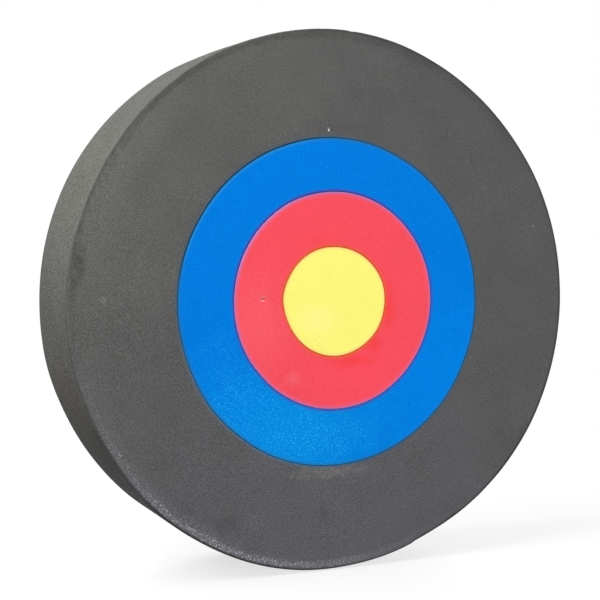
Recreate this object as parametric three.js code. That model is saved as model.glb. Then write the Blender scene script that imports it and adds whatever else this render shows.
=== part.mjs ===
// Round foam archery target boss, standing on its rim with the shooting face towards -Y.
//
// Millimetres, +Z up. The disc's axis runs along Y, from the shooting face at -Y to the plain
// back at +Y. The origin is midway through the thickness, under the disc, on the surface that
// the rim stands on.
//
// The boss is a one-piece grey foam block with a shallow round recess in its shooting face. The
// three scoring zones are cut from coloured foam, nest in each other and are glued into the
// recess, flush with the grey face around them. A low rolled lip runs round the shooting face.

import * as THREE from 'three';

// Foam block
const blockDiameter = 600;
const blockThickness = 130;
const backEdgeRadius = 2.5;

// Rolled lip round the shooting face. It is part of the block, and its crest is the block's
// furthest point forward.
const lipWidth = 11;
const lipHeight = 1.5;
const lipEdgeRadius = 1.5;

// Scoring zones: the disc in the middle, and the width of each ring round it
const yellowDiameter = 122;
const redRingWidth = 59;
const blueRingWidth = 61;
const inlayThickness = 30;

// Rounding along every cut edge of the zones and of the recess, seen as a fine seam line
const seamRadius = 1.2;

// Glue line beside and behind each inlay
const glueGap = 0.3;

// Fineness of the turned shapes
const facetsRound = 96;
const lipSteps = 5;
const edgeSteps = 4;
const seamSteps = 2;

// Turned solids are set round by half a facet, which puts a flat facet at the very bottom. The
// block stands on it, so its axis is a facet's distance above the floor.
const halfFacetTurn = Math.PI / facetsRound;
const blockRadius = blockDiameter / 2;
const axisHeight = blockRadius * Math.cos(halfFacetTurn);

// Places that follow from the sizes
const crestY = -blockThickness / 2;
const faceY = crestY + lipHeight;
const backY = blockThickness / 2;
const yellowRadius = yellowDiameter / 2;
const redRadius = yellowRadius + redRingWidth;
const blueRadius = redRadius + blueRingWidth;
const recessRadius = blueRadius + glueGap;
const recessDepth = inlayThickness + glueGap;

// Adds a rounded corner to an outline, anticlockwise through one quarter of a circle. Quarter 0
// starts from the outward direction, 1 from the back, 2 from the axis and 3 from the front.
function addRoundCorner(outline, centreR, centreY, radius, quarter, steps) {
  for (let step = 0; step <= steps; step += 1) {
    const angle = (quarter + step / steps) * Math.PI / 2;
    const r = centreR + radius * Math.cos(angle);
    const y = centreY + radius * Math.sin(angle);
    outline.push(new THREE.Vector2(r, y));
  }
}

// Adds the lip's inner slope: a soft S from the flat face out and forward to the crest.
function addLipSlope(outline, footR, topR) {
  for (let step = 0; step <= lipSteps; step += 1) {
    const share = step / lipSteps;
    const rise = (1 - Math.cos(Math.PI * share)) / 2;
    const r = THREE.MathUtils.lerp(footR, topR, share);
    const y = THREE.MathUtils.lerp(faceY, crestY, rise);
    outline.push(new THREE.Vector2(r, y));
  }
}

function foamMaterial(colour, roughness) {
  return new THREE.MeshStandardMaterial({ color: colour, roughness, metalness: 0 });
}

function turnedPiece(name, outline, material) {
  const solid = new THREE.LatheGeometry(outline, facetsRound, halfFacetTurn);
  const piece = new THREE.Mesh(solid, material);
  piece.name = name;
  return piece;
}

// Grey block. Its outline starts on the axis at the recess floor, runs up the recess wall, over
// the seam edge, across the face, over the lip, along the rim and back across the plain back.
function makeFoamBlock() {
  const outline = [];
  const recessFloorY = faceY + recessDepth;
  outline.push(new THREE.Vector2(0, recessFloorY));
  outline.push(new THREE.Vector2(recessRadius, recessFloorY));
  addRoundCorner(outline, recessRadius + seamRadius, faceY + seamRadius, seamRadius, 2, seamSteps);
  addLipSlope(outline, blockRadius - lipWidth, blockRadius - lipEdgeRadius);
  addRoundCorner(outline, blockRadius - lipEdgeRadius, crestY + lipEdgeRadius, lipEdgeRadius, 3,
    edgeSteps);
  addRoundCorner(outline, blockRadius - backEdgeRadius, backY - backEdgeRadius, backEdgeRadius, 0,
    edgeSteps);
  outline.push(new THREE.Vector2(0, backY));
  return turnedPiece('foam_block', outline, foamMaterial(0x5a5a58, 0.85));
}

// Scoring ring with its front at y = 0, cut to clear the zone inside it by the glue line. Both
// front edges are rounded by the seam radius.
function makeRing(name, outerR, neighbourR, material) {
  const innerR = neighbourR + glueGap;
  const outline = [];
  addRoundCorner(outline, innerR + seamRadius, seamRadius, seamRadius, 2, seamSteps);
  addRoundCorner(outline, outerR - seamRadius, seamRadius, seamRadius, 3, seamSteps);
  outline.push(new THREE.Vector2(outerR, inlayThickness));
  outline.push(new THREE.Vector2(innerR, inlayThickness));
  outline.push(outline[0].clone());
  return turnedPiece(name, outline, material);
}

// Centre disc, the same but with no hole
function makeCentre(name, outerR, material) {
  const outline = [];
  outline.push(new THREE.Vector2(0, 0));
  addRoundCorner(outline, outerR - seamRadius, seamRadius, seamRadius, 3, seamSteps);
  outline.push(new THREE.Vector2(outerR, inlayThickness));
  outline.push(new THREE.Vector2(0, inlayThickness));
  return turnedPiece(name, outline, material);
}

// Scoring zones, nested and flush with the flat of the shooting face
const zones = new THREE.Group();
zones.position.y = faceY;
zones.add(makeRing('blue_ring', blueRadius, redRadius, foamMaterial(0x0080e1, 0.6)));
zones.add(makeRing('red_ring', redRadius, yellowRadius, foamMaterial(0xff5564, 0.65)));
zones.add(makeCentre('yellow_centre', yellowRadius, foamMaterial(0xfffa78, 0.65)));

const boss = new THREE.Group();
boss.position.z = axisHeight;
boss.add(makeFoamBlock());
boss.add(zones);

export default boss;
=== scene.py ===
import math

import bpy
import numpy as np
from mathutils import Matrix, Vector, noise


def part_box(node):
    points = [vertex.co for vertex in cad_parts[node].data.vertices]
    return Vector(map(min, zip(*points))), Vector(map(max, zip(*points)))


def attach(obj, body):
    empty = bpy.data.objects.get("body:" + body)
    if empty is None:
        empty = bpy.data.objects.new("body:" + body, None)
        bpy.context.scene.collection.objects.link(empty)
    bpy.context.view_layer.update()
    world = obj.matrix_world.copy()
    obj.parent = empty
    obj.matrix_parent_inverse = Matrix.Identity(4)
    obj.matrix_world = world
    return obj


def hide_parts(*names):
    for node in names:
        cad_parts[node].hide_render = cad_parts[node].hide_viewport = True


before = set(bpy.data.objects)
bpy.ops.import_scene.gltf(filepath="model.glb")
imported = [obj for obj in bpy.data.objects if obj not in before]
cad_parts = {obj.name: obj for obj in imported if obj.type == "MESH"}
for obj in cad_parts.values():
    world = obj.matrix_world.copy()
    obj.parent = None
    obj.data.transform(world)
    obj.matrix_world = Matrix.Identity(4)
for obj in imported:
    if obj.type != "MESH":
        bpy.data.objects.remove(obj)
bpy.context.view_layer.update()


# Camera: it stands to the left of the boss, near the height of its middle, so that the disc is
# foreshortened and the rim wall shows at the left.

block_low, block_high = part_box("foam_block")
axis_height = (block_low.z + block_high.z) / 2
face_middle = Vector((0, block_low.y, axis_height))

camera_from_face = Vector((-0.5869, -1.2534, 0.0605))
looks_right = math.radians(23.514)
looks_down = math.radians(2.446)
focal_length_mm = 75.16
sensor_width_mm = 36

camera_data = bpy.data.cameras.new("camera")
camera_data.sensor_width = sensor_width_mm
camera_data.lens = focal_length_mm
camera = bpy.data.objects.new("camera", camera_data)
camera.location = face_middle + camera_from_face
camera.rotation_euler = (math.radians(90) - looks_down, 0, -looks_right)
bpy.context.scene.collection.objects.link(camera)
bpy.context.scene.camera = camera
bpy.context.scene.view_settings.view_transform = "Standard"


# Studio: a plain pale floor that the boss stands on, and an even white surround. What the camera
# sees of the far floor and of the surround is plain white, and the floor keeps the shadow.

def new_material(name):
    """An empty node material, with its tree and its output node."""
    material = bpy.data.materials.new(name)
    material.use_nodes = True
    tree = material.node_tree
    tree.nodes.clear()
    output = tree.nodes.new("ShaderNodeOutputMaterial")
    return material, tree, output


def add(tree, kind, inputs=None, **settings):
    """Adds a node. An input is given as a value, or as the output socket that feeds it."""
    node = tree.nodes.new(kind)
    for name, value in settings.items():
        setattr(node, name, value)
    for name, value in (inputs or {}).items():
        socket = node.inputs[name]
        if isinstance(value, bpy.types.NodeSocket):
            tree.links.new(value, socket)
        else:
            socket.default_value = value
    return node


def maths(tree, operation, first, second, **settings):
    """The result of a Math node over two inputs, each a number or a socket."""
    node = add(tree, "ShaderNodeMath", {0: first, 1: second}, operation=operation, **settings)
    return node.outputs[0]


def seen_ray(tree):
    """1 for rays that see the surround: from the camera, in a reflection or through glass."""
    path = add(tree, "ShaderNodeLightPath").outputs
    seen_or_mirrored = maths(tree, "MAXIMUM", path["Is Camera Ray"], path["Is Glossy Ray"])
    return maths(tree, "MAXIMUM", seen_or_mirrored, path["Is Transmission Ray"])


white = (1, 1, 1, 1)
surround_light = (0.96, 0.98, 1.0, 1)
surround_strength = 0.30

surround = bpy.data.worlds.new("surround")
bpy.context.scene.world = surround
surround.use_nodes = True
sky = surround.node_tree
sky.nodes.clear()
sky_output = add(sky, "ShaderNodeOutputWorld")
lighting = add(sky, "ShaderNodeBackground", {"Color": surround_light, "Strength": surround_strength})
backdrop = add(sky, "ShaderNodeBackground", {"Color": white, "Strength": 1.0})
sky_mix = add(sky, "ShaderNodeMixShader", {
    0: seen_ray(sky), 1: lighting.outputs[0], 2: backdrop.outputs[0]})
sky.links.new(sky_mix.outputs[0], sky_output.inputs[0])

floor_reach = 8.0
floor_as_lit = (0.17, 0.17, 0.17, 1)
floor_as_seen = (0.92, 0.92, 0.92, 1)
floor_white_near = 0.72
floor_white_from = 0.40
floor_white_to = 1.2

corners = [(-floor_reach, -floor_reach), (floor_reach, -floor_reach),
           (floor_reach, floor_reach), (-floor_reach, floor_reach)]
floor_mesh = bpy.data.meshes.new("floor")
floor_mesh.from_pydata([(x, y, block_low.z) for x, y in corners], [], [(0, 1, 2, 3)])
floor = bpy.data.objects.new("floor", floor_mesh)
bpy.context.scene.collection.objects.link(floor)

floor_paint, tree, output = new_material("floor_paint")
place = add(tree, "ShaderNodeTexCoord")
away = add(tree, "ShaderNodeVectorMath", {0: place.outputs["Object"]}, operation="LENGTH")
far = add(tree, "ShaderNodeMapRange", interpolation_type="SMOOTHSTEP", inputs={
    "Value": away.outputs["Value"], "From Min": floor_white_from, "From Max": floor_white_to,
    "To Min": floor_white_near, "To Max": 1.0})
seen = seen_ray(tree)
floor_colour = add(tree, "ShaderNodeMix", {0: seen, 6: floor_as_lit, 7: floor_as_seen}, data_type="RGBA")
matt = add(tree, "ShaderNodeBsdfDiffuse", {"Color": floor_colour.outputs[2]})
glow = add(tree, "ShaderNodeEmission", {"Color": white, "Strength": 1.0})
floor_mix = add(tree, "ShaderNodeMixShader", {
    0: maths(tree, "MULTIPLY", far.outputs[0], seen), 1: matt.outputs[0], 2: glow.outputs[0]})
tree.links.new(floor_mix.outputs[0], output.inputs["Surface"])
floor_mesh.materials.append(floor_paint)


# Lamps: a large soft light above and to the left of the boss lights the rim wall, a broad one in
# front lights the face evenly, and a weak one behind keeps the back and the far rim readable.

def add_lamp(name, distance, direction, width, power, colour):
    """A square soft lamp, placed by its distance and direction from the middle of the face."""
    place = face_middle + distance * Vector(direction)
    data = bpy.data.lights.new(name, "AREA")
    data.shape = "SQUARE"
    data.size = width
    data.energy = power
    data.color = colour
    lamp = bpy.data.objects.new(name, data)
    lamp.location = place
    lamp.rotation_euler = (face_middle - place).to_track_quat("-Z", "Y").to_euler()
    bpy.context.scene.collection.objects.link(lamp)


add_lamp("overhead_lamp", 1.6, (-0.70, -0.10, 0.72), width=1.2, power=33.8, colour=(0.995, 1.0, 0.975))
add_lamp("front_lamp", 3.6, (0.12, -0.98, 0.14), width=1.5, power=87, colour=(1.0, 0.99, 1.0))
add_lamp("rear_lamp", 3.0, (0.55, 0.78, 0.30), width=1.5, power=90, colour=(1.0, 1.0, 1.0))


# Grey block: one disc of closed-cell foam, with a recess for the scoring zones. Its front edge was
# rolled to a low, uneven lip and has gone a little flat in places, and its back edge is nearly true. The
# lip carries most of the dirt and painted shade, and a painted sheen at the lower left.

box_radius = (block_high.x - block_low.x) / 2
face_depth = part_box("blue_ring")[0].y
mean_sag = 0.0003
glue_gap = 0.0003
recess_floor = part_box("blue_ring")[1].y + glue_gap

# Every piece is skinned over rings with a point at each of these angles, from +X by the top
angle_count = 720
angles = np.linspace(0, 2 * math.pi, angle_count, endpoint=False)
degrees = np.degrees(angles)

# What a mesh carries for its material at every point: where it is paler, from rubbing and from painted
# light;
# where it is darker, from dirt and from painted shade; where a seam has coloured it; and where it is
# bright, as in the lip's painted sheen and the pale lines beside some seams
kinds_of_mark = ("worn", "soiled", "stained", "bright")


def even(value):
    """The same value at every angle, or the values as they are if there is one for each."""
    return np.zeros(angle_count) + value


def ramp(value, start, end):
    """0 up to the start and 1 from the end on. Where the start is the higher, it falls instead."""
    return np.clip((value - start) / (end - start), 0, 1)


def hump(value, middle, half_width):
    """A smooth bump, 1 in its middle and about a third of that at its half width."""
    return np.exp(-(((value - middle) / half_width) ** 2))


def swell(middle, half_width):
    """A smooth bump round the rim, 1 at the given angle in degrees."""
    return hump((degrees - middle + 180) % 360 - 180, 0, half_width)


def stretch(start, end, softness=4.0):
    """1 along the rim from one angle in degrees to another, else 0, with soft ends."""
    turn = np.abs((degrees - (start + end) / 2 + 180) % 360 - 180)
    return 1 / (1 + np.exp((turn - (end - start) / 2) * 4 / softness))


def uneven(seed, waves):
    """Smooth unevenness round the rim, from about -1 to 1, with about that many waves."""
    reach = waves / 3
    return np.array([noise.noise(Vector((reach * math.cos(a), reach * math.sin(a), seed)))
                     for a in angles])


def cloud(radius, waves_per_metre, seed):
    """Smooth unevenness over the disc, from about -1 to 1, at every angle of a ring."""
    across = waves_per_metre * even(radius) * np.cos(angles)
    up = waves_per_metre * even(radius) * np.sin(angles)
    return np.array([noise.noise(Vector((x, z, seed))) for x, z in zip(across, up)])


def off_centre_circle(radius, across, up):
    """Distance from the disc's axis, at every angle, of a circle cut a little off centre."""
    shift = across * np.cos(angles) + up * np.sin(angles)
    slide = up * np.cos(angles) - across * np.sin(angles)
    return shift + np.sqrt(radius ** 2 - slide ** 2)


def sag(radius):
    """How far the soft face lies back from flat, at every angle of a ring of that radius."""
    return mean_sag + mean_sag * cloud(radius, 14, 2)


def nick(radius, across, up, half_width, half_height, depth):
    """How deep a small nick presses the face in, at every angle of a ring of that radius."""
    from_middle = (even(radius) * np.cos(angles) - across) / half_width
    above = (even(radius) * np.sin(angles) - up) / half_height
    return depth * np.exp(-(from_middle ** 2 + above ** 2))


def ring(radius, depth, **marks):
    """One ring of a turned surface: its radius, its depth and each kind of wear and painted light, at
    every angle.
    """
    return even(radius), even(depth), {kind: even(marks.get(kind, 0.0)) for kind in kinds_of_mark}


def face_ring(radius, **marks):
    """A ring on the flat of the shooting face, which is a little wavy."""
    return ring(radius, face_depth + sag(radius), **marks)


def rounded_edge(radius, depth, rounding, inward, steps=6, **marks):
    """Rings over a rounded front edge whose sharp corner would be at the radius and depth given,
    from the front of the piece to its side. Inward is 1 for an outer edge and -1 for a hole's."""
    rings = []
    for step in range(steps + 1):
        turn = step / steps * math.pi / 2
        rings.append(ring(radius - inward * rounding * (1 - math.sin(turn)),
                          depth + rounding * (1 - math.cos(turn)), **marks))
    return rings


def turned_mesh(name, rings, front_tip=None, back_tip=None):
    """Skins a closed turned surface over its rings. A tip closes it on the axis at that depth."""
    points = [np.stack([radius * np.cos(angles), depth, axis_height + radius * np.sin(angles)], 1)
              for radius, depth, marks in rings]
    last = len(rings) - 1
    bands = [(step, step + 1) for step in range(last)]
    if front_tip is None:
        bands.append((last, 0))
    here = np.arange(angle_count)
    ahead = (here + 1) % angle_count
    faces = []
    for one, other in bands:
        near = one * angle_count
        far = other * angle_count
        faces += np.stack([near + here, far + here, far + ahead, near + ahead], 1).tolist()
    tip = len(rings) * angle_count
    for depth, first, order in ((front_tip, 0, 1), (back_tip, last * angle_count, -1)):
        if depth is not None:
            points.append(np.array([[0, depth, axis_height]]))
            corners = np.stack([np.full(angle_count, tip), first + here, first + ahead], 1)
            faces += corners[:, ::order].tolist()
            tip += 1
    mesh = bpy.data.meshes.new(name)
    mesh.from_pydata(np.concatenate(points).tolist(), [], faces)
    unworn_tips = np.zeros(tip - len(rings) * angle_count)
    for kind in kinds_of_mark:
        values = np.concatenate([marks[kind] for radius, depth, marks in rings] + [unworn_tips])
        mesh.attributes.new(kind, "FLOAT", "POINT").data.foreach_set("value", values)
    mesh.shade_smooth()
    piece = bpy.data.objects.new(name, mesh)
    bpy.context.scene.collection.objects.link(piece)
    return piece


# Recess: its edge is the blue ring's, a little way off, and rounded over to a fine seam. At the upper
# left the seam is darker, a dark joint with painted shade, and at the lower left it has a painted
# highlight
seam_round = 0.0007
half_seam = 0.00015
blue_edge = (off_centre_circle(0.1814, 0.0006, -0.0013) + 0.0004 * uneven(2.2, 14)
             - 0.0005 * swell(4, 9) + 0.0003 * swell(142, 20) - 0.0004 * swell(197, 13)
             + 0.0006 * swell(219, 6) + 0.0009 * swell(250, 14) - 0.0003 * swell(333, 12))
recess_edge = blue_edge + half_seam
seam_line_and_shade = stretch(94, 170, 14)
seam_highlight = 0.65 * stretch(194, 262, 12)

# Where the front edge has gone flat: its angle, half its width in degrees, and its depth
flat_spots = ((38, 9, 0.0008), (56, 19, 0.0020), (67, 5, 0.0003), (88, 14, 0.0008), (106, 12, 0.0014),
              (132, 17, 0.0019), (149, 8, 0.0015), (162, 9, 0.0016), (200, 6, 0.0008),
              (204, 8, 0.0008), (213, 9, 0.0014), (240, 8, 0.0006), (276, 10, 0.0016),
              (294.5, 12, 0.0034), (309, 9, 0.0014), (320, 8, 0.0006))
crease_at = 290.4
crease = 0.0009 * np.where(degrees < crease_at, swell(crease_at, 0.7), swell(crease_at, 9))
notch = 0.0006 * swell(86, 0.6)
nibbles = 0.0002 * (1 + uneven(4.4, 90)) * stretch(100, 165, 10)
front_inset = (sum(depth * swell(middle, width) for middle, width, depth in flat_spots)
               + crease + notch + nibbles + 0.0001 * (1 + uneven(3.1, 40)))

# The back edge is nearly true. The rim wall goes from one to the other over this depth.
back_inset = (0.0001 * (1 + uneven(8.7, 18)) * (1 - swell(270, 14)) - 0.0010 * swell(119, 11)
              - 0.0005 * swell(145, 14) - 0.0010 * swell(194, 7) + 0.0006 * swell(234, 4))
rim_settles_over = 0.05

# Lip: how wide its slope is, how round its outer edge, and where its crest and its foot lie
lip_width = 0.011
lip_edge_round = 0.0015
lip = (lip_width + 0.001 * uneven(1.7, 22) + 0.002 * swell(80, 16) + 0.005 * swell(172, 3.5)
       - 0.0025 * stretch(100, 138, 8))
edge_round = lip_edge_round + 0.0009 * stretch(205, 280, 12) + 0.0005 * stretch(230, 268, 8)
lip_drop = 0.0002 * (1 + uneven(5.3, 30)) + 0.0004 * swell(172, 4)
crest_radius = box_radius - front_inset - edge_round
crest_depth = block_low.y + lip_drop
lip_foot = box_radius - front_inset - lip
foot_depth = face_depth + sag(lip_foot)

# Dirt of the lip and painted shade: dark lines just inside its crest, on the crest and just past it, a
# fainter band down its slope and the dark outer edge, which are partly dirt and partly painted shade
# where the lip turns from the lamp above and to the left, and a blotch and mottling of dirt at the left
patchy = uneven(6.1, 60)
line_dirt_and_shade = ((0.45 + 0.25 * patchy) * stretch(-74, 96, 6) + 0.13 * stretch(-48, -6)
             - 0.06 * stretch(62, 96))
inner_line = (0.24 + 0.20 * patchy) * stretch(96, 136, 8)
crest_shade = (0.30 + 0.15 * patchy) * stretch(143, 168, 5)
far_line = (0.34 + 0.15 * patchy) * stretch(160, 198, 6) + 0.22 * stretch(174, 192)
band_dirt_and_shade = (0.02 + 0.10 * stretch(-40, 64, 12) + 0.07 * stretch(40, 66, 8) + 0.20 * stretch(66, 82)
             + 0.06 * stretch(-45, -5, 10) + 0.17 * stretch(292, 330) - 0.05 * stretch(200, 290)
             + 0.10 * uneven(9.4, 50) * stretch(-10, 150, 10))
blotch = 0.26 * stretch(168, 175.8, 1.5)
mottled = 0.35 * stretch(118, 180, 8)
edge_dirt_and_shade = (0.76 * stretch(-66, 96, 8) - 0.17 * stretch(36, 96, 8) + 0.64 * stretch(222, 294, 8)
             + 0.20 * stretch(96, 143, 8) + 0.12 * stretch(194, 222, 8))

# Painted light on the lip: a painted sheen at the lower left, where light glints on the pebbled skin,
# and paler stretches at the left, painted light where the lip catches the lamp above and to the left
sheen = (0.20 * stretch(192, 206, 6) + 0.42 * stretch(206, 277, 6) + 0.36 * stretch(222, 265, 6)
         + 0.12 * swell(211, 4) + 0.22 * swell(241, 8) + 0.10 * swell(271, 5))
sheen_on_face = 0.12 + 0.25 * stretch(188, 240, 10)
lip_light = 0.34 * stretch(128, 168, 6) + 0.14 * stretch(184, 212, 8)
lip_light_on_face = lip_light * (1 - 0.5 * stretch(156, 172, 4))
lip_light_fades_from = 0.35 + 0.30 * stretch(144, 170, 4)
slope_light = 0.17 * stretch(145, 167, 4) + 0.18 * swell(151, 4)
crest_light = 0.14 * stretch(172, 190, 4)


def mottle(radius):
    """Small dark and pale patches along the lip."""
    return cloud(radius, 150, 9)


# The rings of the block, from the middle of the recess out, over the rim and in across the back
block_rings = [ring(recess_edge * share, recess_floor) for share in (0.5, 1)]
seam_lip = rounded_edge(recess_edge, face_depth + sag(recess_edge), seam_round, -1,
                        stained=0.75, soiled=0.45 * seam_line_and_shade, worn=seam_highlight)
block_rings += seam_lip[::-1]

# Beside the seam: how far past its edge, and how much of its stain is left there
stain_reach = 0.0056
beside_seam = ((0.0009, 0.52), (0.0017, 0.30), (0.0027, 0.14), (0.0040, 0.05), (stain_reach, 0.0))
# Beside the seam its painted shade and painted highlight fade out with the stain
for past_edge, stain in beside_seam:
    block_rings.append(face_ring(recess_edge + past_edge, stained=stain,
                                 soiled=0.25 * stain * seam_line_and_shade, worn=2 * stain * seam_highlight))

# Grey face, with closer rings near the seam, where a chip was knocked out above the blue ring. The
# chip is given by where it lies across and up, half its width, half its height and its depth.
chip_in_grey = (-0.006, 0.1887, 0.0012, 0.0016, 0.0009)
face_from = recess_edge + stain_reach
near_seam_shares = np.linspace(0, 0.09, 14)[1:]
face_shares = np.linspace(0.09, 1, 42)[1:]
for share in np.concatenate([near_seam_shares, face_shares]):
    near_lip = ramp(share, 0.9, 1)
    radius = face_from + (lip_foot - face_from) * share
    chip = nick(radius, *chip_in_grey)
    # Near the lip the face takes some of the lip's dirt, painted shade and painted sheen
    darker = (near_lip * 0.3 * band_dirt_and_shade
            + ramp(share, 0.965, 0.99) * blotch * (1.25 + 0.6 * mottle(radius)))
    block_rings.append(ring(radius, face_depth + sag(radius) + chip, soiled=np.clip(darker, 0, 1),
                            worn=ramp(share, 0.68, 0.90) * lip_light_on_face,
                            bright=near_lip * sheen_on_face * sheen))

# Lip's slope: a soft S from the flat face out and forward to the crest
slope_steps = 14
for step in range(1, slope_steps + 1):
    share = step / slope_steps
    rise = (1 - math.cos(math.pi * share)) / 2
    radius = lip_foot + (crest_radius - lip_foot) * share
    by_line = ramp(share, 0.68, 1)
    by_crest = ramp(share, 0.84, 1)
    patches = mottle(radius)
    # Its darkening is partly dirt and partly painted shade, and its paleness and sparkle are painted
    # light
    darker = (min(1.0, 0.3 + 2 * share) * band_dirt_and_shade + blotch * (1 + 0.6 * patches)
            + mottled * patches + by_line * line_dirt_and_shade + hump(share, 0.93, 0.08) * inner_line
            + ramp(share, 0.7, 1) * crest_shade + 0.40 * by_crest * edge_dirt_and_shade)
    paler = (lip_light * (1 - ramp(share, lip_light_fades_from, 1)) + hump(share, 0.45, 0.35) * slope_light
              + by_line * crest_light)
    sparkle = sheen * np.clip(sheen_on_face + 2 * share, 0, 1) * (1 - 0.4 * by_crest)
    block_rings.append(ring(radius, foot_depth + (crest_depth - foot_depth) * rise,
                            soiled=np.clip(darker, 0, 1), worn=paler, bright=sparkle))

# Lip's outer edge, rounded over from the crest to the rim wall
edge_steps = 9
rounding = rounded_edge(crest_radius + edge_round, crest_depth, edge_round, 1, edge_steps)
for step in range(1, edge_steps + 1):
    radius, depth, marks = rounding[step]
    share = step / edge_steps
    # The dark outer edge is partly dirt and partly painted shade
    darker = edge_dirt_and_shade + (1 - share) * crest_shade + hump(share, 0.7, 0.35) * far_line
    block_rings.append(ring(radius, depth, soiled=np.clip(darker, 0, 1)))

# Rim wall: the lip's dirt, painted shade and paleness fade off it within about a centimetre of the lip.
# Apart from that it has painted shade at the lower left, where it turns from the lamp, and is paler near
# the lip at the left, at about 196 degrees and towards the bottom
back_edge_round = 0.0025
wall_from = crest_depth + edge_round
wall_to = block_high.y - back_edge_round
wall_shares = np.concatenate([[1 / 120], np.linspace(0, 1, 25)[1:]])
for share in wall_shares:
    depth = wall_from + (wall_to - wall_from) * share
    settled = hump(depth, block_low.y, rim_settles_over)
    inset = front_inset * settled + back_inset * (1 - settled)
    by_edge = ramp(share, 1 / 12, 0)
    darker = (0.5 * by_edge * edge_dirt_and_shade * (1 - stretch(100, 200)) + ramp(share, 1 / 96, 0) * far_line
            + 0.33 * ramp(share, 3 / 4, 0) * stretch(205, 219, 5))
    paler = (0.25 * by_edge * stretch(112, 200) + 0.20 * swell(196, 6)
              + 0.45 * stretch(222, 262, 6))
    block_rings.append(ring(box_radius - inset, depth, soiled=darker, worn=paler))

# Back edge and plain back, both rubbed by handling, and dirty at the foot
edge_handling = uneven(12.5, 24)
back_edge_steps = 5
for step in range(1, back_edge_steps + 1):
    turn = step / back_edge_steps * math.pi / 2
    block_rings.append(ring(box_radius - back_inset - back_edge_round * (1 - math.cos(turn)),
                            wall_to + back_edge_round * math.sin(turn),
                            worn=0.22 * (1 + 0.5 * edge_handling)))
back_from = box_radius - back_inset - back_edge_round
back_steps = 16
for step in range(1, back_steps):
    by_edge = ramp(step / back_steps, 3 / 16, 0)
    radius = back_from * (1 - step / back_steps)
    handling = cloud(radius, 17, 5.5)
    paler = (0.20 * np.clip(handling, 0, 1)
              + 0.22 * by_edge * (1 + edge_handling) * (1 - swell(270, 40)))
    darker = 0.25 * np.clip(-handling, 0, 1) + 0.45 * by_edge * swell(270, 26)
    block_rings.append(ring(radius, block_high.y, worn=paler, soiled=darker))
grey_block = turned_mesh("grey_block", block_rings, recess_floor, block_high.y)


def new_group(name, inputs, outputs):
    """An empty shader node group with its named inputs and outputs."""
    group = bpy.data.node_groups.new(name, "ShaderNodeTree")
    for label, start in inputs:
        socket = group.interface.new_socket(name=label, in_out="INPUT", socket_type="NodeSocketFloat")
        socket.default_value = start
    for label in outputs:
        group.interface.new_socket(name=label, in_out="OUTPUT", socket_type="NodeSocketFloat")
    entry = group.nodes.new("NodeGroupInput")
    leave = group.nodes.new("NodeGroupOutput")
    return group, entry.outputs, leave.inputs


# Foam skin, the fine pebbled surface of all the foam: small rounded cells with creases between
# them, pale flecks, a few specks and pits, and a tone and a hue that drift from place to place.
# First how fine the flecks and the dots are beside the cells, and the drift beside the patches. Then
# which of the scattered dots, each with a number from 0 to 1, are pale specks and which dark pits.
fleck_fineness = 1.05
dot_fineness = 0.28
drift_fineness = 1.7
pale_specks_from = 0.65
dark_pits_to = 0.30

foam_skin, given, made = new_group(
    "foam_skin",
    [("Cell Size", 0.002), ("Cell Contrast", 1.0), ("Patch Size", 0.05), ("Patch Contrast", 0.5)],
    ["Tone", "Relief", "Flecks", "Specks", "Pits", "Hue"])
where = add(foam_skin, "ShaderNodeTexCoord").outputs["Object"]
cells_per_metre = maths(foam_skin, "DIVIDE", 1.0, given["Cell Size"])
patches_per_metre = maths(foam_skin, "DIVIDE", 1.0, given["Patch Size"])
cells = add(foam_skin, "ShaderNodeTexVoronoi", {
    "Vector": where, "Scale": cells_per_metre, "Randomness": 1.0})
creases = add(foam_skin, "ShaderNodeTexNoise", {
    "Vector": where, "Scale": cells_per_metre, "Detail": 1.5, "Roughness": 0.5})
patches = add(foam_skin, "ShaderNodeTexNoise", {
    "Vector": where, "Scale": patches_per_metre, "Detail": 3.0, "Roughness": 0.6})
flecks = add(foam_skin, "ShaderNodeTexNoise", {
    "Vector": where, "Scale": maths(foam_skin, "MULTIPLY", cells_per_metre, fleck_fineness),
    "Detail": 1.0, "Roughness": 0.5})
scattered = add(foam_skin, "ShaderNodeTexVoronoi", {
    "Vector": where, "Scale": maths(foam_skin, "MULTIPLY", cells_per_metre, dot_fineness),
    "Randomness": 1.0})
drift = add(foam_skin, "ShaderNodeTexNoise", {
    "Vector": where, "Scale": maths(foam_skin, "MULTIPLY", patches_per_metre, drift_fineness),
    "Detail": 2.0, "Roughness": 0.55})

cell_tone = maths(foam_skin, "MULTIPLY", maths(foam_skin, "SUBTRACT", creases.outputs["Fac"], 0.5),
                  given["Cell Contrast"])
patch_tone = maths(foam_skin, "MULTIPLY", maths(foam_skin, "SUBTRACT", patches.outputs["Fac"], 0.5),
                   given["Patch Contrast"])
tone = maths(foam_skin, "ADD", maths(foam_skin, "ADD", cell_tone, patch_tone), 0.5, use_clamp=True)
domes = maths(foam_skin, "SUBTRACT", 1.0, cells.outputs["Distance"])
relief = maths(foam_skin, "ADD", maths(foam_skin, "MULTIPLY", domes, 0.5), creases.outputs["Fac"])
bright_flecks = add(foam_skin, "ShaderNodeMapRange", {
    "Value": flecks.outputs["Fac"], "From Min": 0.54, "From Max": 0.67})
dots = add(foam_skin, "ShaderNodeMapRange", {
    "Value": scattered.outputs["Distance"], "From Min": 0.16, "From Max": 0.06})
dot_colour = add(foam_skin, "ShaderNodeSeparateColor", {"Color": scattered.outputs["Color"]})
dot_number = dot_colour.outputs["Red"]
pale_dot = maths(foam_skin, "GREATER_THAN", dot_number, pale_specks_from)
dark_dot = maths(foam_skin, "LESS_THAN", dot_number, dark_pits_to)
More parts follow.
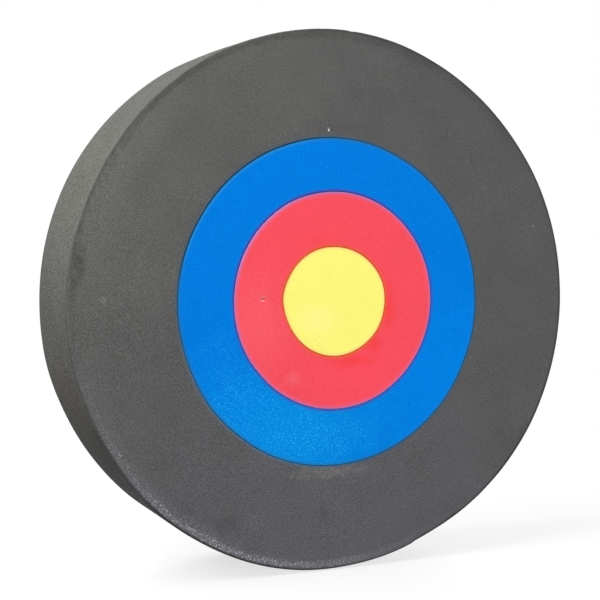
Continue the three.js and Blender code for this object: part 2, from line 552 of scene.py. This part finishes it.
hue = add(foam_skin, "ShaderNodeMapRange", {
    "Value": drift.outputs["Fac"], "From Min": 0.35, "From Max": 0.65})
foam_skin.links.new(tone, made["Tone"])
foam_skin.links.new(relief, made["Relief"])
foam_skin.links.new(bright_flecks.outputs[0], made["Flecks"])
foam_skin.links.new(maths(foam_skin, "MULTIPLY", dots.outputs[0], pale_dot), made["Specks"])
foam_skin.links.new(maths(foam_skin, "MULTIPLY", dots.outputs[0], dark_dot), made["Pits"])
foam_skin.links.new(hue.outputs[0], made["Hue"])

# Soft-edged mark on the shooting face, for smudges, chips and dirt: 1 in its middle, and 0
# outside. It fades out between these two depths, so that no mark shows on the back.
marks_fade_from = 0.050
marks_gone_by = 0.064

soft_spot, given, made = new_group(
    "soft_spot",
    [("Across", 0.0), ("Up", 0.0), ("Half Width", 0.01), ("Half Height", 0.01), ("Softness", 0.5),
     ("Raggedness", 0.3), ("Raggedness Size", 0.004)],
    ["Mask"])
where = add(soft_spot, "ShaderNodeTexCoord").outputs["Object"]
parts = add(soft_spot, "ShaderNodeSeparateXYZ", {"Vector": where}).outputs
share_across = maths(soft_spot, "DIVIDE", maths(soft_spot, "SUBTRACT", parts["X"], given["Across"]),
                     given["Half Width"])
share_up = maths(soft_spot, "DIVIDE", maths(soft_spot, "SUBTRACT", parts["Z"], given["Up"]),
                 given["Half Height"])
distance = maths(soft_spot, "POWER", maths(
    soft_spot, "ADD", maths(soft_spot, "MULTIPLY", share_across, share_across),
    maths(soft_spot, "MULTIPLY", share_up, share_up)), 0.5)
ragged = add(soft_spot, "ShaderNodeTexNoise", {
    "Vector": where, "Scale": maths(soft_spot, "DIVIDE", 1.0, given["Raggedness Size"]), "Detail": 3.0})
ragged_edge = maths(soft_spot, "MULTIPLY", maths(soft_spot, "SUBTRACT", ragged.outputs["Fac"], 0.5),
                    maths(soft_spot, "MULTIPLY", given["Raggedness"], 4.0))
spot = add(soft_spot, "ShaderNodeMapRange", interpolation_type="SMOOTHSTEP", inputs={
    "Value": maths(soft_spot, "ADD", distance, ragged_edge), "From Min": 1.0,
    "From Max": maths(soft_spot, "SUBTRACT", 1.0, given["Softness"])})
off_the_back = add(soft_spot, "ShaderNodeMapRange", {
    "Value": parts["Y"], "From Min": marks_fade_from, "From Max": marks_gone_by,
    "To Min": 1.0, "To Max": 0.0})
mask = maths(soft_spot, "MULTIPLY", spot.outputs[0], off_the_back.outputs[0])
soft_spot.links.new(mask, made["Mask"])


def foam_material(name, base, cell_size, cell_contrast, patch_contrast, roughness, gloss, relief_depth):
    """Foam of one colour, with its grain, its drift of tone and its pebbled relief."""
    material, tree, output = new_material(name)
    skin = add(tree, "ShaderNodeGroup", node_tree=foam_skin, name="skin", inputs={
        "Cell Size": cell_size, "Cell Contrast": cell_contrast, "Patch Contrast": patch_contrast})
    darkest = tuple(0.6 * part for part in base) + (1,)
    palest = tuple(1.4 * part for part in base) + (1,)
    colour = add(tree, "ShaderNodeMix", {0: skin.outputs["Tone"], 6: darkest, 7: palest},
                 data_type="RGBA")
    bump = add(tree, "ShaderNodeBump", {
        "Height": skin.outputs["Relief"], "Strength": 1.0, "Distance": relief_depth})
    rough = add(tree, "ShaderNodeMapRange", {
        "Value": skin.outputs["Relief"], "To Min": roughness + 0.1, "To Max": roughness - 0.1})
    shader = add(tree, "ShaderNodeBsdfPrincipled", {
        "Base Color": colour.outputs[2], "Roughness": rough.outputs[0], "Normal": bump.outputs[0],
        "Specular IOR Level": gloss})
    tree.links.new(shader.outputs[0], output.inputs["Surface"])
    return material


def paint(material, mask, strength, colour, flecked=False, tints=False):
    """Lays a colour over what the material has so far, as strongly as the mask and the strength
    say. Flecked paint is broken up by the grain. A tint multiplies what it lies on, so that the
    grain under it stays, and above 1 it brightens."""
    tree = material.node_tree
    if flecked:
        mask = maths(tree, "MULTIPLY", mask, tree.nodes["skin"].outputs["Flecks"])
    mask = maths(tree, "MULTIPLY", mask, strength, use_clamp=True)
    base_colour = tree.nodes["Principled BSDF"].inputs["Base Color"]
    layer = add(tree, "ShaderNodeMix", data_type="RGBA", blend_type="MULTIPLY" if tints else "MIX",
                inputs={0: mask, 6: base_colour.links[0].from_socket, 7: colour + (1,)})
    tree.links.new(layer.outputs[2], base_colour)


def paint_grain(material, kind, strength, colour, **manner):
    """Paints one of the foam skin's own masks, such as its specks."""
    paint(material, material.node_tree.nodes["skin"].outputs[kind], strength, colour, **manner)


def paint_mark(material, kind, strength, colour, **manner):
    """Paints where the mesh carries that kind of mark: wear, dirt, painted light and painted shade all
    come this way.
    """
    attribute = add(material.node_tree, "ShaderNodeAttribute", attribute_name=kind)
    paint(material, attribute.outputs["Fac"], strength, colour, **manner)


def spot_mask(material, middle, half_size, softness, ragged, ragged_size):
    """The mask of one mark on the shooting face, across and up from the middle of the disc."""
    spot = add(material.node_tree, "ShaderNodeGroup", node_tree=soft_spot, inputs={
        "Across": middle[0], "Up": axis_height + middle[1], "Half Width": half_size[0],
        "Half Height": half_size[1], "Softness": softness, "Raggedness": ragged,
        "Raggedness Size": ragged_size})
    return spot.outputs["Mask"]


def paint_spot(material, middle, half_size, strength, colour, softness=1.0, ragged=0.3,
               ragged_size=0.004, **manner):
    """Paints one mark on the shooting face."""
    mask = spot_mask(material, middle, half_size, softness, ragged, ragged_size)
    paint(material, mask, strength, colour, **manner)


# Grey finish: its grain is stronger where the foam has weathered, and stronger still on the rim
# wall, whose own look comes in over a few millimetres behind the face
wall_grain_from = face_depth
wall_tint_from = face_depth + 0.001
wall_look_to = face_depth + 0.004

grey_finish = foam_material(
    "grey_finish", (0.0985, 0.0985, 0.0985), cell_size=0.0015, cell_contrast=1.6, patch_contrast=0.30,
    roughness=0.75, gloss=0.02, relief_depth=0.0004)
grey_tree = grey_finish.node_tree
weathered = spot_mask(grey_finish, (-0.12, -0.11), (0.57, 0.49), 1.0, 0.15, 0.08)
weathered_grain = add(grey_tree, "ShaderNodeMapRange", {"Value": weathered, "To Min": 1.0, "To Max": 2.0})
depth_here = add(grey_tree, "ShaderNodeSeparateXYZ", {
    "Vector": add(grey_tree, "ShaderNodeTexCoord").outputs["Object"]}).outputs["Y"]
wall_grain = add(grey_tree, "ShaderNodeMapRange", {
    "Value": depth_here, "From Min": wall_grain_from, "From Max": wall_look_to,
    "To Min": 1.0, "To Max": 2.6})
grain = maths(grey_tree, "MULTIPLY", weathered_grain.outputs[0], wall_grain.outputs[0])
grey_tree.links.new(grain, grey_tree.nodes["skin"].inputs["Cell Contrast"])

# Large drifts of colour: earthy at the left of the rim wall; paler and warmer at the upper left and in
# two clouds at the top and the left, painted light from the lamp above and to the left; and cooler at
# the bottom, painted cool light from below
on_wall = add(grey_tree, "ShaderNodeMapRange", {
    "Value": depth_here, "From Min": wall_tint_from, "From Max": wall_look_to})
earthy = maths(grey_tree, "MULTIPLY", on_wall.outputs[0],
               spot_mask(grey_finish, (-0.27, -0.11), (0.09, 0.14), 1.0, 0.2, 0.03))
paint_grain(grey_finish, "Hue", 0.5, (1.0, 0.99, 0.95), tints=True)
paint(grey_finish, earthy, 1.0, (1.05, 1.0, 0.94), tints=True)
for middle, half_size, tint, ragged, ragged_size in (
        ((-0.31, 0.19), (0.34, 0.33), (1.18, 1.18, 1.10), 0.2, 0.06),
        ((0.01, -0.28), (0.42, 0.28), (1.09, 1.08, 1.20), 0.25, 0.06),
        ((-0.07, 0.27), (0.17, 0.11), (1.11, 1.12, 1.08), 0.25, 0.04),
        ((-0.27, 0.06), (0.13, 0.17), (1.07, 1.06, 1.05), 0.25, 0.04)):
    paint_spot(grey_finish, middle, half_size, 1.0, tint, ragged=ragged, ragged_size=ragged_size,
               tints=True)

# Painted sheen below the blue ring, where light glints on the skin, first its haze and then its flecks
paint_spot(grey_finish, (-0.004, -0.189), (0.062, 0.010), 0.38, (0.155, 0.145, 0.145), softness=0.9,
           ragged=0.4, ragged_size=0.006)
paint_spot(grey_finish, (-0.004, -0.190), (0.066, 0.011), 1.0, (0.25, 0.235, 0.235), softness=0.8,
           ragged=0.4, ragged_size=0.006, flecked=True)

# Smudges: two dark ones near the bottom, a pale one between them, a pale scuff by the lip at the
# left, and painted shade above the blue ring
smudge = (0.055, 0.055, 0.058)
paint_spot(grey_finish, (-0.125, -0.237), (0.022, 0.016), 0.35, smudge, softness=0.9, ragged=0.4,
           ragged_size=0.010)
paint_spot(grey_finish, (-0.0115, -0.2355), (0.015, 0.015), 0.34, smudge, softness=0.9, ragged=0.4,
           ragged_size=0.010)
paint_spot(grey_finish, (-0.0936, -0.2392), (0.012, 0.012), 0.6, (0.26, 0.26, 0.28), softness=0.9,
           ragged=0.4, ragged_size=0.010, flecked=True)
paint_spot(grey_finish, (-0.261, 0.0056), (0.010, 0.006), 0.7, (0.40, 0.40, 0.40), softness=0.9,
           ragged=0.4, ragged_size=0.006, flecked=True)
paint_spot(grey_finish, (0.005, 0.192), (0.060, 0.010), 0.20, (0.060, 0.062, 0.075),
           ragged_size=0.010)
paint_grain(grey_finish, "Specks", 0.40, (0.20, 0.20, 0.19))
paint_grain(grey_finish, "Pits", 0.40, (0.05, 0.05, 0.05))

# Specks: the chip above the blue ring, with a painted shadow beside its bright middle, and two at the
# right
for middle, half_size, strength, colour, softness, ragged in (
        ((-0.0035, 0.1880), (0.0014, 0.0012), 0.7, (0.025, 0.025, 0.03), 0.6, 0.3),
        ((-0.0060, 0.1885), (0.0014, 0.0018), 1.0, (0.66, 0.66, 0.62), 0.5, 0.5),
        ((-0.0070, 0.1905), (0.0008, 0.0014), 0.7, (0.45, 0.45, 0.42), 0.6, 0.3),
        ((0.261, 0.085), (0.0020, 0.0024), 0.6, (0.24, 0.24, 0.22), 0.8, 0.3),
        ((0.176, -0.069), (0.0014, 0.0026), 0.6, (0.26, 0.22, 0.14), 0.8, 0.3)):
    paint_spot(grey_finish, middle, half_size, strength, colour, softness=softness, ragged=ragged,
               ragged_size=0.002)

# Wear and painted light: the dull blue that the ring leaves along the seam, dirt and painted shade,
# paler stretches from handling and from painted light, and the painted sheen, first its haze and then its
# flecks
paint_mark(grey_finish, "stained", 1.0, (0.018, 0.118, 0.250))
paint_mark(grey_finish, "soiled", 0.75, (0.022, 0.025, 0.025))
paint_mark(grey_finish, "worn", 1.0, (1.52, 1.52, 1.47), tints=True)
paint_mark(grey_finish, "bright", 0.33, (0.165, 0.165, 0.180))
paint_mark(grey_finish, "bright", 1.0, (0.40, 0.40, 0.45), flecked=True)
grey_block.data.materials.append(grey_finish)
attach(grey_block, "root")
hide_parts("foam_block")


# Blue and red scoring rings: cut by hand from sheets of coloured foam, so a little off centre.
# They nest in each other, and are glued into the recess flush with the grey face. Dirt has
# gathered in the seam along each ring's inner edge, and the outer edge has rubbed to a dull line.

red_edge = (off_centre_circle(0.12045, 0.0024, 0.0007) + 0.0003 * uneven(7.5, 12)
            + 0.0004 * swell(112, 15) - 0.0003 * swell(160, 18) - 0.0003 * swell(223, 10)
            + 0.0005 * swell(274, 22) - 0.0003 * swell(330, 14))
yellow_edge = (off_centre_circle(0.0612, 0.0015, 0.0002) + 0.0013 * swell(174, 16)
               + 0.0013 * swell(16, 20) + 0.0009 * swell(335, 24) - 0.0011 * swell(82, 28)
               - 0.0006 * swell(216, 22) + 0.0003 * swell(272, 16))

# How far in from an inner edge, and how much of the seam's dirt is left there. Then how far in
# from an outer edge, and how much is left there of its rub and of the pale line beside it.
edge_reach = 0.0060
inner_edge_dirt = ((0.0009, 1.0), (0.0018, 0.80), (0.0028, 0.31), (0.0042, 0.07), (edge_reach, 0.0))
outer_edge_rub = ((0.0009, 0.80, 0.3), (0.0018, 0.50, 1.0), (0.0028, 0.27, 0.3),
                  (0.0042, 0.11, 0.0), (edge_reach, 0.0, 0.0))


def finish_zone(piece, node, material):
    """Gives a scoring zone its finish, hangs it from the root body and hides the solid it stands for."""
    piece.data.materials.append(material)
    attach(piece, "root")
    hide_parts(node)


def scoring_ring(name, node, inner_edge, outer_edge, filth, dark_line, pale_line, pale_rim, cuts=()):
    """One ring. The filth lies along its inner edge. Its outer edge may have a dark line on its
    very corner, a pale line just inside, or a pale rim. A cut is given as the grey face's chip is."""
    inner = inner_edge + half_seam
    outer = outer_edge - half_seam
    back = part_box(node)[1].y
    rings = rounded_edge(inner, face_depth + sag(inner), seam_round, -1, soiled=filth)[::-1]
    for past_edge, darker in inner_edge_dirt:
        rings.append(face_ring(inner + past_edge, soiled=darker * filth))
    flat_from = inner + edge_reach
    flat_to = outer - edge_reach
    even_shares = np.linspace(0, 1, 41)[1:-1]
    closer_by_cut = np.linspace(0.25, 0.55, 32) if cuts else []
    for share in np.unique(np.concatenate([even_shares, closer_by_cut])):
        radius = flat_from + (flat_to - flat_from) * share
        dents = sum(nick(radius, *cut) for cut in cuts)
        rings.append(ring(radius, face_depth + sag(radius) + dents))
    for past_edge, lip_light, paleness in outer_edge_rub[::-1]:
        rim = (1 - past_edge / edge_reach) ** 4
        rings.append(face_ring(outer - past_edge, worn=lip_light,
                               bright=paleness * pale_line + rim * pale_rim))
    rings += rounded_edge(outer, face_depth + sag(outer), seam_round, 1, worn=1.0, stained=dark_line,
                          bright=pale_rim)
    rings.append(ring(outer, back))
    rings.append(ring(inner, back))
    return turned_mesh(name, rings)


blue_ring = scoring_ring(
    "blue_zone", "blue_ring", red_edge, blue_edge, filth=0.73 + 0.27 * stretch(70, 170, 24),
    dark_line=seam_line_and_shade, pale_line=stretch(98, 165, 14), pale_rim=0.0)
blue_finish = foam_material(
    "blue_finish", (0.0004, 0.190, 0.700), cell_size=0.0019, cell_contrast=0.5, patch_contrast=0.12,
    roughness=0.65, gloss=0.01, relief_depth=0.0003)

# Where the light catches the skin at the lower left, first as a haze and then as flecks, and a
# paler stretch at the lower right
paint_spot(blue_finish, (-0.050, -0.140), (0.190, 0.125), 0.65, (0.0015, 0.278, 0.735))
paint_spot(blue_finish, (-0.098, -0.130), (0.115, 0.122), 0.55, (0.022, 0.450, 0.950), softness=0.7,
           ragged=0.4, ragged_size=0.020, flecked=True)
paint_spot(blue_finish, (-0.015, -0.152), (0.090, 0.046), 0.75, (0.026, 0.510, 0.970), ragged=0.4,
           ragged_size=0.015, flecked=True)
paint_spot(blue_finish, (0.135, -0.080), (0.130, 0.150), 1.0, (1.0, 1.13, 1.09), ragged=0.2,
           ragged_size=0.03, tints=True)
paint_grain(blue_finish, "Specks", 0.40, (0.030, 0.380, 0.920))

# Edges: a dull outer edge with a pale line inside it and, at the upper left, a dark line on it that is
# a dark joint with painted shade, and violet dirt along the inner edge
paint_mark(blue_finish, "worn", 0.90, (0.022, 0.150, 0.320))
paint_mark(blue_finish, "bright", 0.45, (0.035, 0.340, 0.760))
paint_mark(blue_finish, "soiled", 0.85, (0.055, 0.050, 0.330))
paint_mark(blue_finish, "stained", 0.7, (0.004, 0.050, 0.110))
finish_zone(blue_ring, "blue_ring", blue_finish)

cut_in_red = (-0.0843, 0.0028, 0.0032, 0.0010, 0.0008)
red_ring = scoring_ring(
    "red_zone", "red_ring", yellow_edge, red_edge, filth=1 - 0.45 * swell(206, 20), dark_line=0.0,
    pale_line=0.0, pale_rim=stretch(112, 168, 10), cuts=[cut_in_red])
red_finish = foam_material(
    "red_finish", (0.890, 0.074, 0.104), cell_size=0.0019, cell_contrast=0.35, patch_contrast=0.10,
    roughness=0.65, gloss=0.05, relief_depth=0.0003)

# Paler at the left and in one small spot, pinker at the lower right, and deeper round the yellow
for middle, half_size, strength, colour, ragged, ragged_size, tints in (
        ((-0.088, -0.022), (0.055, 0.085), 0.5, (0.93, 0.125, 0.160), 0.3, 0.004, False),
        ((-0.048, -0.084), (0.014, 0.012), 0.35, (0.92, 0.18, 0.23), 0.3, 0.004, False),
        ((0.040, -0.075), (0.100, 0.080), 1.0, (1.06, 1.03, 1.12), 0.2, 0.03, True),
        ((0.067, -0.006), (0.013, 0.040), 0.8, (0.90, 0.052, 0.055), 0.2, 0.02, False),
        ((0.020, -0.067), (0.040, 0.013), 0.9, (0.90, 0.050, 0.055), 0.2, 0.02, False),
        ((0.049, -0.047), (0.020, 0.020), 0.8, (0.90, 0.052, 0.055), 0.2, 0.02, False),
        ((-0.020, 0.068), (0.036, 0.011), 0.4, (0.90, 0.060, 0.060), 0.2, 0.02, False),
        ((-0.072, 0.002), (0.010, 0.034), 0.4, (0.84, 0.070, 0.090), 0.3, 0.02, False)):
    paint_spot(red_finish, middle, half_size, strength, colour, ragged=ragged,
               ragged_size=ragged_size, tints=tints)

# The small cut at the left: a greyed patch round it, its pale lower lip and a painted shadow in its gap
paint_spot(red_finish, (-0.0846, 0.0052), (0.0070, 0.0052), 0.55, (0.72, 0.16, 0.17), softness=0.9,
           ragged_size=0.003)
paint_spot(red_finish, (-0.0844, 0.0019), (0.0034, 0.0008), 0.9, (0.95, 0.36, 0.36), softness=0.6,
           ragged=0.2, ragged_size=0.002)
paint_spot(red_finish, (-0.0842, 0.0032), (0.0026, 0.0007), 0.7, (0.20, 0.03, 0.04), softness=0.6,
           ragged=0.2, ragged_size=0.002)

# Edges: a lilac outer edge with a paler rim at the upper left, and an orange inner edge
paint_mark(red_finish, "worn", 1.0, (0.40, 0.175, 0.440))
paint_mark(red_finish, "bright", 0.38, (0.72, 0.36, 0.72))
paint_mark(red_finish, "soiled", 0.85, (0.73, 0.12, 0.030))
finish_zone(red_ring, "red_ring", red_finish)


# Yellow centre: a plain disc of the same foam, pressed and glued into the middle of the red
# ring. Towards the red its face turns a paler orange, and its very edge a deeper one.

yellow_outer = yellow_edge - half_seam
yellow_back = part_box("yellow_centre")[1].y
yellow_steps = 22
yellow_rings = [face_ring((yellow_outer - edge_reach) * step / yellow_steps)
                for step in range(1, yellow_steps + 1)]
for past_edge, orange in ((0.0040, 0.10), (0.0030, 0.26), (0.0020, 0.65), (0.0010, 1.0)):
    yellow_rings.append(face_ring(yellow_outer - past_edge, worn=orange))
yellow_rings += rounded_edge(yellow_outer, face_depth + sag(yellow_outer), seam_round, 1, worn=1.0,
                             stained=1.0)
yellow_rings.append(ring(yellow_outer, yellow_back))
yellow_disc = turned_mesh("yellow_zone", yellow_rings, face_depth + mean_sag, yellow_back)
yellow_finish = foam_material(
    "yellow_finish", (0.945, 0.890, 0.195), cell_size=0.0019, cell_contrast=0.12, patch_contrast=0.05,
    roughness=0.65, gloss=0.05, relief_depth=0.0003)
paint_mark(yellow_finish, "worn", 0.85, (0.99, 0.64, 0.250))
paint_mark(yellow_finish, "stained", 0.8, (0.88, 0.34, 0.07))
paint_spot(yellow_finish, (-0.020, -0.020), (0.034, 0.028), 0.8, (0.97, 0.90, 0.27))
finish_zone(yellow_disc, "yellow_centre", yellow_finish)
